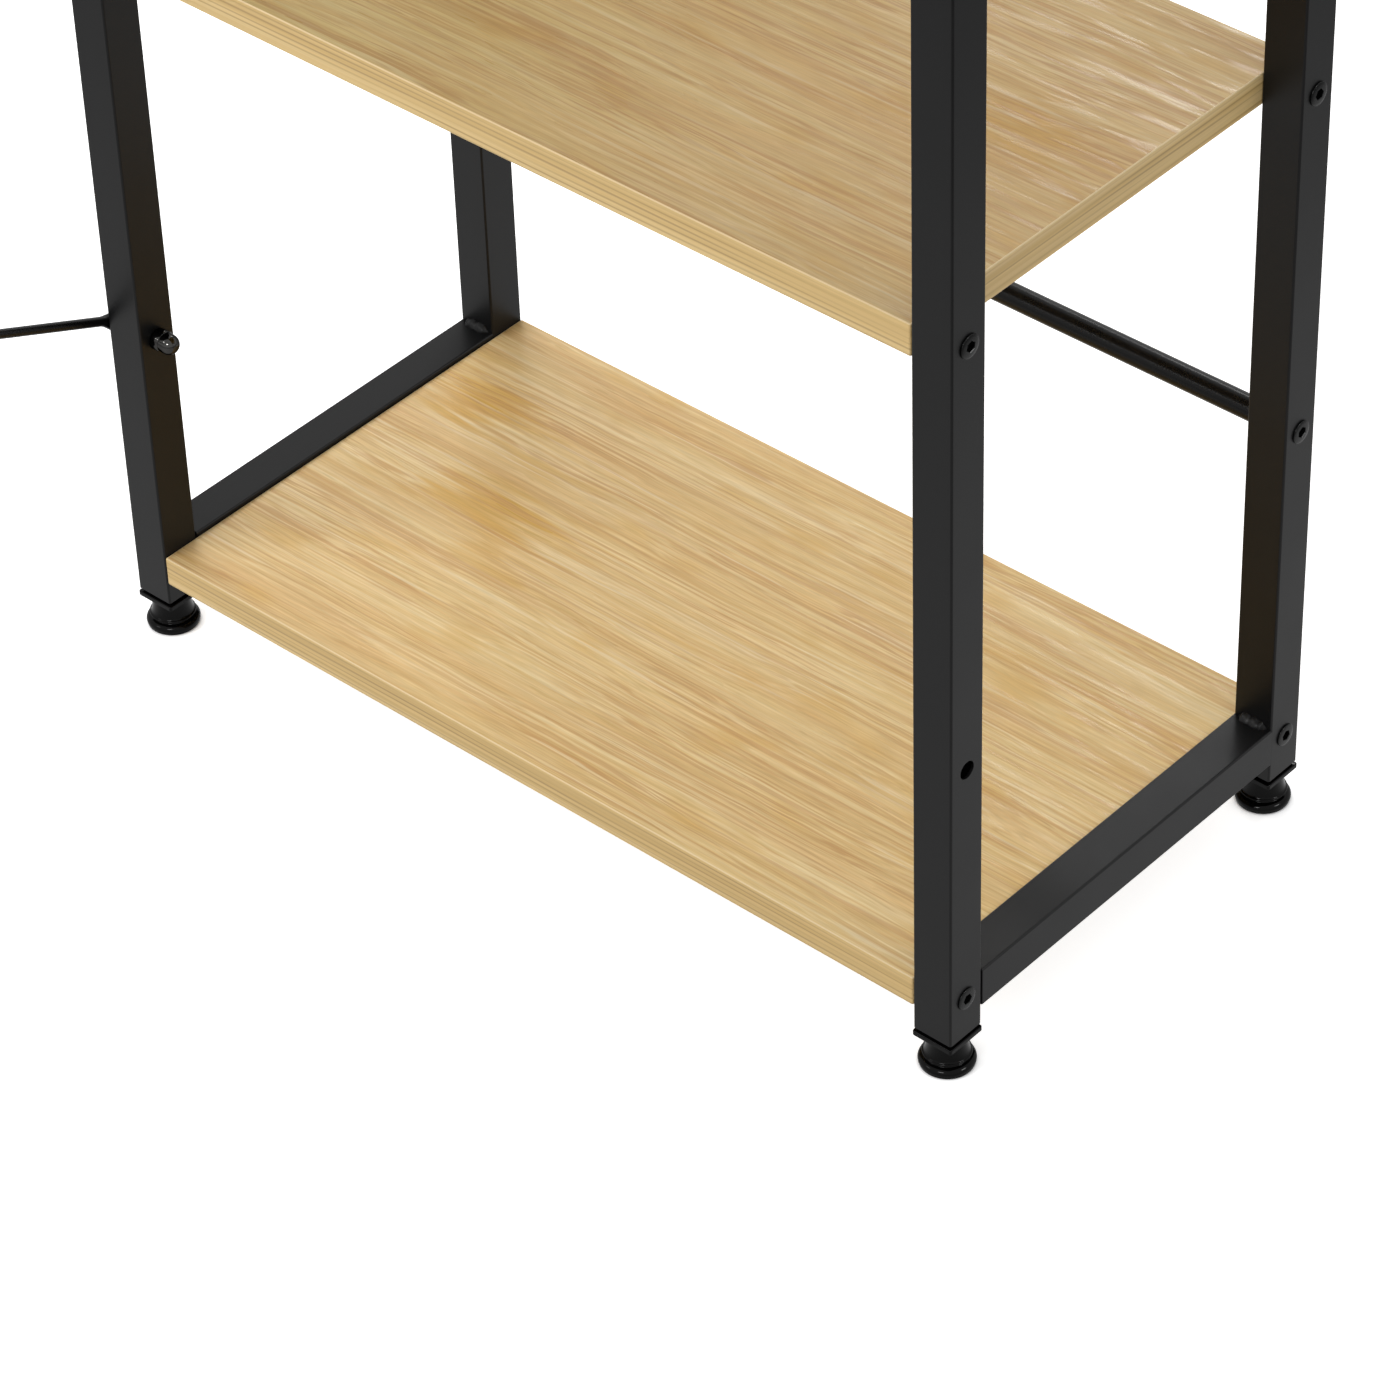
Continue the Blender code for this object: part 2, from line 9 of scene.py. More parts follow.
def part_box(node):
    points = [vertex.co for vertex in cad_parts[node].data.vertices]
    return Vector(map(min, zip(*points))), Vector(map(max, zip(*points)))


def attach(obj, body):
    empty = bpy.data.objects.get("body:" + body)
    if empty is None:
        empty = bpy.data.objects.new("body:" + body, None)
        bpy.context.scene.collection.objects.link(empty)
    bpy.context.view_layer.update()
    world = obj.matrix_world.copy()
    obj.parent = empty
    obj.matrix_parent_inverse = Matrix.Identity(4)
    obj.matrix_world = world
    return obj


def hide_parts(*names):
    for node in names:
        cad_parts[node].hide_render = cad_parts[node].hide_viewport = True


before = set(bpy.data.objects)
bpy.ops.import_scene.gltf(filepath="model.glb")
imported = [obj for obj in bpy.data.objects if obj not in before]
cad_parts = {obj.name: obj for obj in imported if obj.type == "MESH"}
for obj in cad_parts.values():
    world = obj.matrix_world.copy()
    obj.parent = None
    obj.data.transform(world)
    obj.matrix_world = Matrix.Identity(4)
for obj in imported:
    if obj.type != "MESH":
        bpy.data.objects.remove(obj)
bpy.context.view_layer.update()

# Sizes shared with the solids, in metres
TUBE = 0.020
TUBE_WALL = 0.0012
TUBE_CORNER = 0.0010
TUBE_INNER_CORNER = 0.0003
WELD_GAP = 0.0003
BOLT_SHANK = 0.003
BOLT_HEAD = 0.0053
BOLT_STAND = 0.0014
BOLT_HOLE = 0.0066
TIE_HOLE = 0.0084
SCREW_SHANK = 0.002
SCREW_HEAD = 0.004
SCREW_HEAD_HEIGHT = 0.002
FOOT_HEIGHT = 0.0155
STUD_RADIUS = 0.003
THREAD_BORE = 0.0033
THREAD_PITCH = 0.001

# Sizes of the fine forms, in metres
END_ROUNDING = 0.00025
SEAM = 0.0004
BOLT_HEAD_HEIGHT = 0.0010
BOLT_KEY = 0.0022
SCREW_KEY = 0.00125

CORNER_STEPS = 6
SHARP_ANGLE = 35
TURN_TO_X = Matrix.Rotation(pi / 2, 4, "Y")
SIDES = {"left": -1, "right": 1}
ENDS = {"front": -1, "back": 1}


# Shader building blocks

def add(tree, kind, settings=None, inputs=None):
    """Add a shader node; each input is a value or a socket to link from."""
    node = tree.nodes.new("ShaderNode" + kind)
    for key, value in (settings or {}).items():
        setattr(node, key, value)
    for key, value in (inputs or {}).items():
        if isinstance(value, bpy.types.NodeSocket):
            tree.links.new(value, node.inputs[key])
        else:
            node.inputs[key].default_value = value
    return node


def calc(tree, operation, first, second=0.0, third=0.0):
    node = add(tree, "Math", {"operation": operation}, {0: first, 1: second, 2: third})
    return node.outputs[0]


def vector(tree, operation, first, second=(0, 0, 0)):
    """Vector arithmetic; a length or a distance comes out as a number."""
    node = add(tree, "VectorMath", {"operation": operation}, {0: first, 1: second})
    return node.outputs["Value" if operation in ("LENGTH", "DISTANCE") else "Vector"]


def parts(tree, value):
    """The X, Y and Z of a vector."""
    return add(tree, "SeparateXYZ", None, {0: value}).outputs


def blend(tree, factor, first, second, mode="MIX"):
    """Mix two colours."""
    settings = {"data_type": "RGBA", "blend_type": mode}
    first = first if isinstance(first, bpy.types.NodeSocket) else (*first, 1)
    second = second if isinstance(second, bpy.types.NodeSocket) else (*second, 1)
    return add(tree, "Mix", settings, {0: factor, 6: first, 7: second}).outputs[2]


def dim(tree, colour, red, green, blue):
    """A colour multiplied by a number for each of its parts."""
    light = add(tree, "CombineColor", None, {0: red, 1: green, 2: blue}).outputs[0]
    return blend(tree, 1.0, colour, light, "MULTIPLY")


def between(tree, value, low, high, top=1.0):
    """Rise smoothly from 0 to top as the value goes from low to high."""
    node = add(tree, "MapRange", {"interpolation_type": "SMOOTHSTEP"},
               {0: value, 1: low, 2: high, 3: 0.0, 4: top})
    return node.outputs[0]


def ramp(tree, value, stops):
    node = add(tree, "ValToRGB", None, {0: value})
    elements = node.color_ramp.elements
    while len(elements) < len(stops):
        elements.new(0.5)
    for element, (position, colour) in zip(elements, stops):
        element.position = position
        element.color = (*colour, 1)
    return node.outputs[0]


def mottle(tree, value, base):
    """A colour that goes from a fifth under its base to a fifth over it."""
    low = tuple(0.8 * part for part in base)
    high = tuple(1.2 * part for part in base)
    return ramp(tree, value, [(0.30, low), (0.70, high)])


def streaks(tree, point, length, width, detail=2.0, seed=0.0):
    """Noise whose blotches are about length along X and width across it."""
    mapping = add(tree, "Mapping", None, {"Vector": point, "Location": (seed, 1.7 * seed, 2.3 * seed),
                                          "Scale": (1 / length, 1 / width, 1 / width)})
    node = add(tree, "TexNoise", None, {"Vector": mapping.outputs[0], "Scale": 1.0, "Detail": detail})
    return node.outputs[0]


def speckle(tree, point, size, detail=2.0):
    """Even noise with blotches of one size."""
    return streaks(tree, point, size, size, detail)


def new_material(name, **settings):
    """A Principled material; returns it with its tree, its shader node and the object coordinates."""
    material = bpy.data.materials.new(name)
    material.use_nodes = True
    tree = material.node_tree
    surface = tree.nodes["Principled BSDF"]
    for key, value in settings.items():
        surface.inputs[key.replace("_", " ")].default_value = value
    point = add(tree, "TexCoord").outputs["Object"]
    return material, tree, surface, point


def emboss(tree, surface, height, strength, distance):
    bump = add(tree, "Bump", None, {"Strength": strength, "Distance": distance, "Height": height})
    tree.links.new(bump.outputs[0], surface.inputs["Normal"])


# Materials

# Layers of the oak print: length and width of the streaks, share in the tone, seed
OAK_LAYERS = ((0.60, 0.030, 0.24, 1.0), (0.40, 0.0075, 0.24, 7.0), (0.26, 0.0030, 0.34, 11.0),
              (0.16, 0.0015, 0.32, 17.0), (0.070, 0.0008, 0.16, 53.0))
# Tones of the oak print: place on the scale of tones, colour
OAK_TONES = ((0.50, (0.595, 0.385, 0.152)), (0.65, (0.690, 0.500, 0.230)), (0.80, (0.780, 0.615, 0.340)))
# Veils of the oak print: length and width of the streaks, seed, noise where they start and are full, strength
OAK_VEILS = {
    "ash": (0.26, 0.013, 61.0, 0.50, 0.68, 0.20),
    "peach": (0.18, 0.012, 71.0, 0.48, 0.68, 0.28),
    "golden": (0.050, 0.018, 5.0, 0.56, 0.76, 0.45),
    "pale": (0.24, 0.0030, 19.0, 0.62, 0.74, 0.45),
    "cluster": (0.14, 0.014, 29.0, 0.26, 0.60, 1.0),
    "coarse": (0.34, 0.0023, 23.0, 0.54, 0.66, 1.0),
    "close": (0.17, 0.0013, 41.0, 0.50, 0.66, 1.0),
}
OAK_COLOURS = {
    "ash": (0.590, 0.405, 0.205),
    "peach": (0.720, 0.475, 0.215),
    "golden": (0.61, 0.370, 0.098),
    "pale": (0.80, 0.665, 0.44),
    "hairline": (0.50, 0.268, 0.098),
}
HAIRLINE_STRENGTH = 0.58


def bend_grain(tree, point):
    """The point, moved across the board so that straight streaks sway and ripple."""
    sway_reach = 0.016
    ripple_reach = 0.0042
    sway = streaks(tree, point, 0.30, 0.050, 1.0, 3.1)
    ripple = streaks(tree, point, 0.07, 0.010, 2.0, 8.4)
    shift = calc(tree, "MULTIPLY_ADD", sway, sway_reach, calc(tree, "MULTIPLY", ripple, ripple_reach))
    move = add(tree, "CombineXYZ", None, {1: shift, 2: shift}).outputs[0]
    return vector(tree, "ADD", point, move)


def add_patches(tree, grain, veil, places):
    """Add frayed patches about the given places to a veil."""
    strength = 0.95
    per_metre = (19, 44, 0)
    fray = 2.2
    # The bent grain lies this far across from the point on average
    bend = 0.010
    fringe = streaks(tree, grain, 0.050, 0.0045, 1.0, 83.0)
    for x, y in places:
        offset = vector(tree, "SUBTRACT", grain, (x, y + bend, 0))
        away = vector(tree, "LENGTH", vector(tree, "MULTIPLY", offset, per_metre))
        away = calc(tree, "MULTIPLY_ADD", fringe, fray, away)
        patch = calc(tree, "SUBTRACT", strength, between(tree, away, 1.2, 2.1, strength))
        veil = calc(tree, "MAXIMUM", veil, patch)
    return veil


def make_oak(name, tint, patches, painted_end_shade=0.0):
    """Oak print on a laminate face: fibrous streaks of several widths, dark hairlines, pale flakes.

    The tint multiplies the print's colours: 1 is a light sheet, and a lower tint paints shade over the sheet.
    Golden patches lie about the given places. Painted shade darkens the sheet towards its left end by the
    share in painted_end_shade; where that share is negative, painted light makes the left end paler.
    """
    fibre_contrast = 0.34
    painted_shade_darkest_at = -0.24
    painted_shade_clear_from = 0.14
    matt = 0.46
    polished = 0.26
    pore_depth = 0.4
    material, tree, surface, point = new_material(name, IOR=1.45, Specular_IOR_Level=0.34)
    grain = bend_grain(tree, point)

    def shade(colour):
        return tuple(part * share for part, share in zip(colour, tint))

    def veil(kind):
        length, width, seed, start, full, strength = OAK_VEILS[kind]
        return between(tree, streaks(tree, grain, length, width, 1.0, seed), start, full, strength)

    tone = 0.0
    for length, width, share, seed in OAK_LAYERS:
        tone = calc(tree, "MULTIPLY_ADD", streaks(tree, grain, length, width, 1.0, seed), share, tone)
    colour = ramp(tree, tone, [(place, shade(stop)) for place, stop in OAK_TONES])
    hairline = calc(tree, "MAXIMUM", veil("coarse"), veil("close"))
    hairline = calc(tree, "MULTIPLY", hairline, veil("cluster"))
    coats = {"ash": veil("ash"), "peach": veil("peach"),
             "golden": add_patches(tree, grain, veil("golden"), patches), "pale": veil("pale"),
             "hairline": calc(tree, "MULTIPLY", hairline, HAIRLINE_STRENGTH)}
    for kind, factor in coats.items():
        colour = blend(tree, factor, colour, shade(OAK_COLOURS[kind]))

    fibre = streaks(tree, grain, 0.016, 0.0008, 1.0, 31.0)
    light = calc(tree, "MULTIPLY_ADD", fibre, fibre_contrast, 1 - fibre_contrast / 2)
    # Painted shade: the colour falls to 1 - painted_end_shade towards the left end, blue the most; a negative
    # share paints light there instead
    across = between(tree, parts(tree, point)[0], painted_shade_darkest_at, painted_shade_clear_from, painted_end_shade)
    fade = calc(tree, "ADD", 1 - painted_end_shade, across)
    light = calc(tree, "MULTIPLY", light, fade)
    colour = dim(tree, colour, light, light, calc(tree, "MULTIPLY", light, fade))
    tree.links.new(colour, surface.inputs["Base Color"])

    pressed = streaks(tree, grain, 0.040, 0.0032, 1.0, 37.0)
    polish = between(tree, pressed, 0.50, 0.70)
    rough = calc(tree, "MULTIPLY_ADD", polish, polished - matt, matt)
    tree.links.new(rough, surface.inputs["Roughness"])
    relief = calc(tree, "MULTIPLY_ADD", hairline, -pore_depth, pressed)
    emboss(tree, surface, relief, strength=0.20, distance=0.0002)
    return material


def make_edge_band(name):
    """Edge strip: a few clear lines run along it, and it is paler on its trimmed corners, partly its own
    paler trim and partly a painted highlight.
    """
    line_spacing = 0.0026
    line_wander = 2.2
    line_strength = 0.66
    hair_contrast = 0.26
    trim_and_painted_highlight_strength = 0.75
    tones = ((0.34, (0.580, 0.395, 0.155)), (0.50, (0.640, 0.450, 0.190)), (0.66, (0.690, 0.505, 0.236)))
    line_colour = (0.34, 0.205, 0.074)
    trim_and_painted_highlight_colour = (0.84, 0.68, 0.42)
    material, tree, surface, point = new_material(name, IOR=1.45)
    facing = parts(tree, add(tree, "NewGeometry").outputs["Normal"])
    place = parts(tree, point)

    # The strip runs along Y on a board's ends and along X on its front and back
    end_facing = 0.7
    on_end = calc(tree, "GREATER_THAN", calc(tree, "ABSOLUTE", facing[0]), end_facing)
    on_front = calc(tree, "SUBTRACT", 1.0, on_end)
    along = calc(tree, "ADD", calc(tree, "MULTIPLY", on_end, place[1]),
                 calc(tree, "MULTIPLY", on_front, place[0]))
    # The pattern of the ends is taken half a metre away from that of the front and back
    apart = calc(tree, "MULTIPLY", on_end, 0.5)
    strip = add(tree, "CombineXYZ", None, {0: along, 1: apart, 2: place[2]}).outputs[0]

    bands = streaks(tree, strip, 0.50, 0.0040, 1.0, 2.0)
    hairs = streaks(tree, strip, 0.06, 0.0006, 1.0, 9.0)
    wander = streaks(tree, strip, 0.30, 0.012, 1.0, 6.0)
    fade = between(tree, streaks(tree, strip, 0.15, 0.0029, 1.0, 14.0), 0.28, 0.66)
    count = calc(tree, "MULTIPLY_ADD", place[2], 1 / line_spacing,
                 calc(tree, "MULTIPLY", wander, line_wander))
    lines = between(tree, calc(tree, "PINGPONG", count, 0.5), 0.26, 0.44)
    lines = calc(tree, "MULTIPLY", lines, fade)
    colour = ramp(tree, bands, tones)
    colour = blend(tree, calc(tree, "MULTIPLY", lines, line_strength), colour, line_colour)
    light = calc(tree, "MULTIPLY_ADD", hairs, hair_contrast, 1 - hair_contrast / 2)
    colour = dim(tree, colour, light, light, light)
    # Paler on the trimmed corner facets: partly the strip's own paler trim, partly a painted highlight where
    # the corners catch the light
    trimmed = between(tree, calc(tree, "ABSOLUTE", facing[2]), 0.45, 0.80, trim_and_painted_highlight_strength)
    colour = blend(tree, trimmed, colour, trim_and_painted_highlight_colour)
    tree.links.new(colour, surface.inputs["Base Color"])
    tree.links.new(calc(tree, "MULTIPLY_ADD", hairs, 0.2, 0.34), surface.inputs["Roughness"])
    emboss(tree, surface, hairs, strength=0.12, distance=0.0002)
    return material


def make_paint(name, base, roughness, specular, peel_size, peel):
    """Powder coat or moulded black: faint orange peel, slow changes of gloss."""
    cloud_contrast = 0.10
    grit_contrast = 0.06
    material, tree, surface, point = new_material(name, IOR=1.45, Specular_IOR_Level=specular)
    cloud = speckle(tree, point, 0.035)
    grit = speckle(tree, point, peel_size)
    tree.links.new(mottle(tree, cloud, base), surface.inputs["Base Color"])
    rough = calc(tree, "MULTIPLY_ADD", cloud, cloud_contrast, roughness - cloud_contrast / 2)
    rough = calc(tree, "SUBTRACT", rough, grit_contrast / 2)
    rough = calc(tree, "MULTIPLY_ADD", grit, grit_contrast, rough)
    tree.links.new(rough, surface.inputs["Roughness"])
    emboss(tree, surface, grit, strength=peel, distance=0.0001)
    return material


def make_metal(name, base, roughness, grain_size, rim):
    """Plated metal with slight changes of tint and polish; rim is its grey at grazing sight."""
    material, tree, surface, point = new_material(name, Metallic=1.0, Specular_Tint=(rim, rim, rim, 1))
    cloud = speckle(tree, point, 0.004)
    grit = speckle(tree, point, grain_size)
    tree.links.new(mottle(tree, cloud, base), surface.inputs["Base Color"])
    rough = calc(tree, "MULTIPLY_ADD", grit, 0.4 * roughness, 0.8 * roughness)
    tree.links.new(rough, surface.inputs["Roughness"])
    emboss(tree, surface, grit, strength=0.05, distance=0.00005)
    return material


# The lower board: its small negative share paints light on its left end
OAK = make_oak("oak_print", (1.0, 1.0, 0.98), ((-0.19, 0.100), (-0.123, 0.043)), -0.04)
# The middle board: its darker tint and its darkening towards the left end are painted shade
PAINTED_SHADE_OAK = make_oak("oak_print_painted_shade", (0.790, 0.775, 0.735), ((0.175, 0.050),), 0.26)
TOP_OAK = make_oak("oak_print_top", (1.0, 1.0, 0.98), ((0.06, -0.050), (0.16, 0.075)))
EDGE_BAND = make_edge_band("oak_edge_band")
PAINT = make_paint("satin_black_coat", (0.0028, 0.0028, 0.0030), 0.40, 0.26, 0.0006, 0.10)
GLOSS_PAINT = make_paint("gloss_black_coat", (0.0025, 0.0025, 0.0026), 0.28, 0.20, 0.0007, 0.06)
PLASTIC = make_paint("moulded_black", (0.0017, 0.0016, 0.0016), 0.13, 0.13, 0.0009, 0.05)
BOLT_BLACK = make_paint("black_oxide", (0.0022, 0.0022, 0.0023), 0.26, 0.22, 0.0005, 0.06)
BLACK_CHROME = make_metal("black_chrome", (0.054, 0.053, 0.051), 0.05, 0.0012, 0.4)
ZINC = make_metal("zinc_plate", (0.55, 0.55, 0.53), 0.34, 0.0006, 1.0)


# Meshes

def mesh_from(shape, name, place=None, sharp=SHARP_ANGLE):
    """Finish a bmesh, put it in place in the part's frame, and shade it smooth but for its sharp edges."""
    mesh = bpy.data.meshes.new(name)
    bmesh.ops.recalc_face_normals(shape, faces=shape.faces)
    shape.to_mesh(mesh)
    shape.free()
    mesh.shade_smooth()
    mesh.set_sharp_from_angle(angle=radians(sharp))
    if place is not None:
        mesh.transform(place)
    return mesh


def skin(shape, rings, closed=False):
    """Join rings of points with quads. A ring of one point closes the skin at that end."""
    loops = [[shape.verts.new(point) for point in ring] for ring in rings]
    pairs = list(zip(loops, loops[1:]))
    if closed:
        pairs.append((loops[-1], loops[0]))
    for first, second in pairs:
        count = max(len(first), len(second))
        for step in range(count):
            after = (step + 1) % count
            corners = [first[step % len(first)], first[after % len(first)],
                       second[after % len(second)], second[step % len(second)]]
            shape.faces.new(list(dict.fromkeys(corners)))


def skinned(rings, closed=False):
    shape = bmesh.new()
    skin(shape, rings, closed)
    return shape


def round_ring(radius, height, sides):
    if radius < 1e-7:
        return [(0, 0, height)]
    return [(radius * cos(2 * pi * step / sides), radius * sin(2 * pi * step / sides), height)
            for step in range(sides)]


def hex_ring(inner_radius, height, sides, limit=1.0):
    """A hexagon's outline, with its corners cut at a limiting radius."""
    points = []
    for step in range(sides):
        angle = 2 * pi * step / sides
        radius = min(inner_radius / cos((angle + pi / 6) % (pi / 3) - pi / 6), limit)
        points.append((radius * cos(angle), radius * sin(angle), height))
    return points


def turned(profile, sides):
    return skinned([round_ring(radius, height, sides) for radius, height in profile])


def arc(centre, radius, start, stop, steps):
    points = []
    for step in range(steps + 1):
        angle = start + (stop - start) * step / steps
        points.append((centre[0] + radius * cos(angle), centre[1] + radius * sin(angle)))
    return points


def rounded_square(size, radius, height):
    points = []
    for quarter in range(4):
        centre = Matrix.Rotation(quarter * pi / 2, 2) @ Vector((size / 2 - radius, size / 2 - radius))
        for step in range(CORNER_STEPS + 1):
            angle = (quarter + step / CORNER_STEPS) * pi / 2
            points.append((centre[0] + radius * cos(angle), centre[1] + radius * sin(angle), height))
    return points


def tube_shape(length):
    """A hollow square tube along Z with softened ends."""
    outer = TUBE - 2 * END_ROUNDING
    inner = TUBE - 2 * TUBE_WALL
    return skinned([rounded_square(inner, TUBE_INNER_CORNER, 0),
                    rounded_square(outer, TUBE_CORNER - END_ROUNDING, 0),
                    rounded_square(TUBE, TUBE_CORNER, END_ROUNDING),
                    rounded_square(TUBE, TUBE_CORNER, length - END_ROUNDING),
                    rounded_square(outer, TUBE_CORNER - END_ROUNDING, length),
                    rounded_square(inner, TUBE_INNER_CORNER, length)], closed=True)


def cut(mesh, cutters):
    """The mesh with a list of (diameter, length, placing matrix) cylinders taken away."""
    shape = bmesh.new()
    for diameter, length, place in cutters:
        bmesh.ops.create_cone(shape, cap_ends=True, segments=32, radius1=diameter / 2,
                              radius2=diameter / 2, depth=length, matrix=place)
    tool = bpy.data.objects.new("tool", bpy.data.meshes.new("tool"))
    shape.to_mesh(tool.data)
    shape.free()
    work = bpy.data.objects.new("work", mesh)
    for item in (tool, work):
        bpy.context.scene.collection.objects.link(item)
    modifier = work.modifiers.new("cut", "BOOLEAN")
    modifier.object = tool
    result = bpy.data.meshes.new_from_object(work.evaluated_get(bpy.context.evaluated_depsgraph_get()))
    bpy.data.objects.remove(work)
    bpy.data.objects.remove(tool)
    result.set_sharp_from_angle(angle=radians(SHARP_ANGLE))
    return result


def add_piece(name, mesh, materials, body, nodes=()):
    """Link a finished piece, hang it on its body and let it stand for its CAD nodes."""
    piece = bpy.data.objects.new(name, mesh)
    bpy.context.scene.collection.objects.link(piece)
    for index, material in enumerate(materials):
        if index < len(mesh.materials):
            mesh.materials[index] = material
        else:
            mesh.materials.append(material)
    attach(piece, body)
    if nodes:
        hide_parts(*nodes)
    return piece


def flatten_normals(piece):
    """Keep large flat faces flat between their rounded edges."""
    modifier = piece.modifiers.new("normals", "WEIGHTED_NORMAL")
    modifier.keep_sharp = True
    modifier.weight = 100


def middle(node):
    low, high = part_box(node)
    return (low + high) / 2


def height_of(node):
    low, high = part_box(node)
    return high.z - low.z


def standing(node):
    """The placing matrix of a piece that stands on the middle of its node's lower face."""
    centre = middle(node)
    return Matrix.Translation((centre.x, centre.y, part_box(node)[0].z))


# Side frames

def add_leg(end, side):
    node = f"leg_{end}_{side}"
    centre = middle(node)
    mesh = mesh_from(tube_shape(height_of(node)), node, standing(node))
    drilled = [f"lower_shelf_bolt_{end}_{side}", f"middle_shelf_bolt_{end}_{side}"]
    if end == "back":
        drilled.append(f"stretcher_bolt_{side}")
    holes = [(BOLT_HOLE, middle(bolt).z) for bolt in drilled]
    if end == "front":
        holes.append((TIE_HOLE, middle("tie_bolt").z))
    cutters = [(diameter, 2 * TUBE, Matrix.Translation((centre.x, centre.y, height)) @ TURN_TO_X)
               for diameter, height in holes]
    piece = add_piece(f"{node}_tube", cut(mesh, cutters), [PAINT], "frame", [node])
    flatten_normals(piece)


def add_rail(level, side):
    """A rail that meets its front leg in an open seam and runs into its back leg's corner, ground flush."""
    node = f"{level}_rail_{side}"
    low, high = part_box(node)
    start = low.y + SEAM
    stop = high.y + WELD_GAP + TUBE_CORNER
    centre = middle(node)
    place = Matrix.Translation((centre.x, start, centre.z)) @ Matrix.Rotation(-pi / 2, 4, "X")
    mesh = mesh_from(tube_shape(stop - start), node, place)
    piece = add_piece(f"{node}_tube", mesh, [PAINT], "frame", [node])
    flatten_normals(piece)


def add_weld(name, start, stop, radius, outward):
    """A fillet bead along a line: flat on its open side, with low swells where the welder paused."""
    steps = 40
    sides = 20
    lumps_per_metre = 420
    lump_share = 0.14
    swell_share = 0.14
    swells = 2.6
    flattening = 0.22
    blunt_end = 0.55
    taper = 5
    along = stop - start
    tip = along.normalized() * radius * 0.5
    rings = [[tuple(start - tip)]]
    for step in range(steps + 1):
        share = step / steps
        centre = start + along * share
        ends = min(1.0, taper * share + blunt_end, taper * (1 - share) + blunt_end)
        swell = 1 - swell_share + swell_share * abs(sin(pi * share * swells + len(name)))
        ring = []
        for turn in range(sides):
            angle = 2 * pi * turn / sides
            spoke = Vector((0, cos(angle), sin(angle)))
            lump = 1 + lump_share * noise.noise((centre + radius * spoke) * lumps_per_metre)
            flat = 1 - flattening * max(0, spoke.dot(outward)) ** 2
            ring.append(tuple(centre + radius * spoke * ends * swell * lump * flat))
        rings.append(ring)
    rings.append([tuple(stop + tip)])
    mesh = mesh_from(skinned(rings), name, sharp=60)
    add_piece(name, mesh, [PAINT], "frame")


def add_welds(level, side, faces):
    """Beads across a rail's upper or lower face, at both of its legs."""
    radius = 0.0046
    sunk = 0.0006
    short = 0.0035
    low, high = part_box(f"{level}_rail_{side}")
    for end, along in ENDS.items():
        leg_face = low.y - WELD_GAP if along < 0 else high.y + WELD_GAP
        for face, height in faces.items():
            upward = 1 if face == "upper" else -1
            y = leg_face + along * sunk
            z = height - upward * sunk
            outward = Vector((0, -along, upward)).normalized()
            add_weld(f"weld_{level}_{end}_{side}_{face}", Vector((low.x + short, y, z)),
                     Vector((high.x - short, y, z)), radius, outward)


for side in SIDES:
    for end in ENDS:
        add_leg(end, side)
    for level in ("bottom", "top"):
        add_rail(level, side)
    low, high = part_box(f"bottom_rail_{side}")
    add_welds("bottom", side, {"upper": high.z, "lower": low.z})
    low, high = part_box(f"top_rail_{side}")
    add_welds("top", side, {"lower": low.z})


# Boards

def rise(edge):
    return abs(edge.verts[0].co.z - edge.verts[1].co.z)


def add_board(node, face, bores):
    """A board with laminate faces and an edge strip whose corners are trimmed round."""
    tight_fit = Vector((0.0008, 0, 0))
    corner_trim = 0.0011
    rim_trim = 0.0008
    level = 0.001
    laminate_facing = 0.98
    low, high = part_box(node)
    shape = bmesh.new()
    bmesh.ops.create_cube(shape, size=1)
    bmesh.ops.scale(shape, vec=high - low + tight_fit, verts=shape.verts)
    bmesh.ops.translate(shape, vec=middle(node), verts=shape.verts)
    upright = [edge for edge in shape.edges if rise(edge) > level]
    bmesh.ops.bevel(shape, geom=upright, offset=corner_trim, segments=4, profile=0.5, affect="EDGES")
    rims = [edge for edge in shape.edges if rise(edge) < level]
    bmesh.ops.bevel(shape, geom=rims, offset=rim_trim, segments=3, profile=0.5, affect="EDGES")
    bmesh.ops.recalc_face_normals(shape, faces=shape.faces)
    for side in shape.faces:
        side.material_index = 0 if abs(side.normal.z) > laminate_facing else 1
    mesh = mesh_from(shape, node)
    materials = [face, EDGE_BAND]
    for material in materials:
        mesh.materials.append(material)
    piece = add_piece(f"{node}_board", cut(mesh, bores), materials, "frame", [node])
    flatten_normals(piece)


def sleeve_bores(shelf):
    clearance = 0.0004
    overrun = 0.002
    bores = []
    for side in SIDES:
        for end in ENDS:
            node = f"{shelf}_sleeve_{end}_{side}"
            low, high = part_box(node)
            place = Matrix.Translation(middle(node)) @ TURN_TO_X
            bores.append((high.z - low.z + clearance, high.x - low.x + overrun, place))
    return bores


def screw_bores():
    diameter = 0.0044
    length = 0.020
    middle_below_tip = 0.0097
    bores = []
    for side in SIDES:
        for end in ENDS:
            node = f"top_screw_{end}_{side}"
            centre = middle(node)
            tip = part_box(node)[1].z
            bores.append((diameter, length, Matrix.Translation((centre.x, centre.y, tip - middle_below_tip))))
    return bores


add_board("lower_shelf", OAK, sleeve_bores("lower_shelf"))
add_board("middle_shelf", PAINTED_SHADE_OAK, sleeve_bores("middle_shelf"))
add_board("top_board", TOP_OAK, screw_bores())


# Bolts, screws, nut

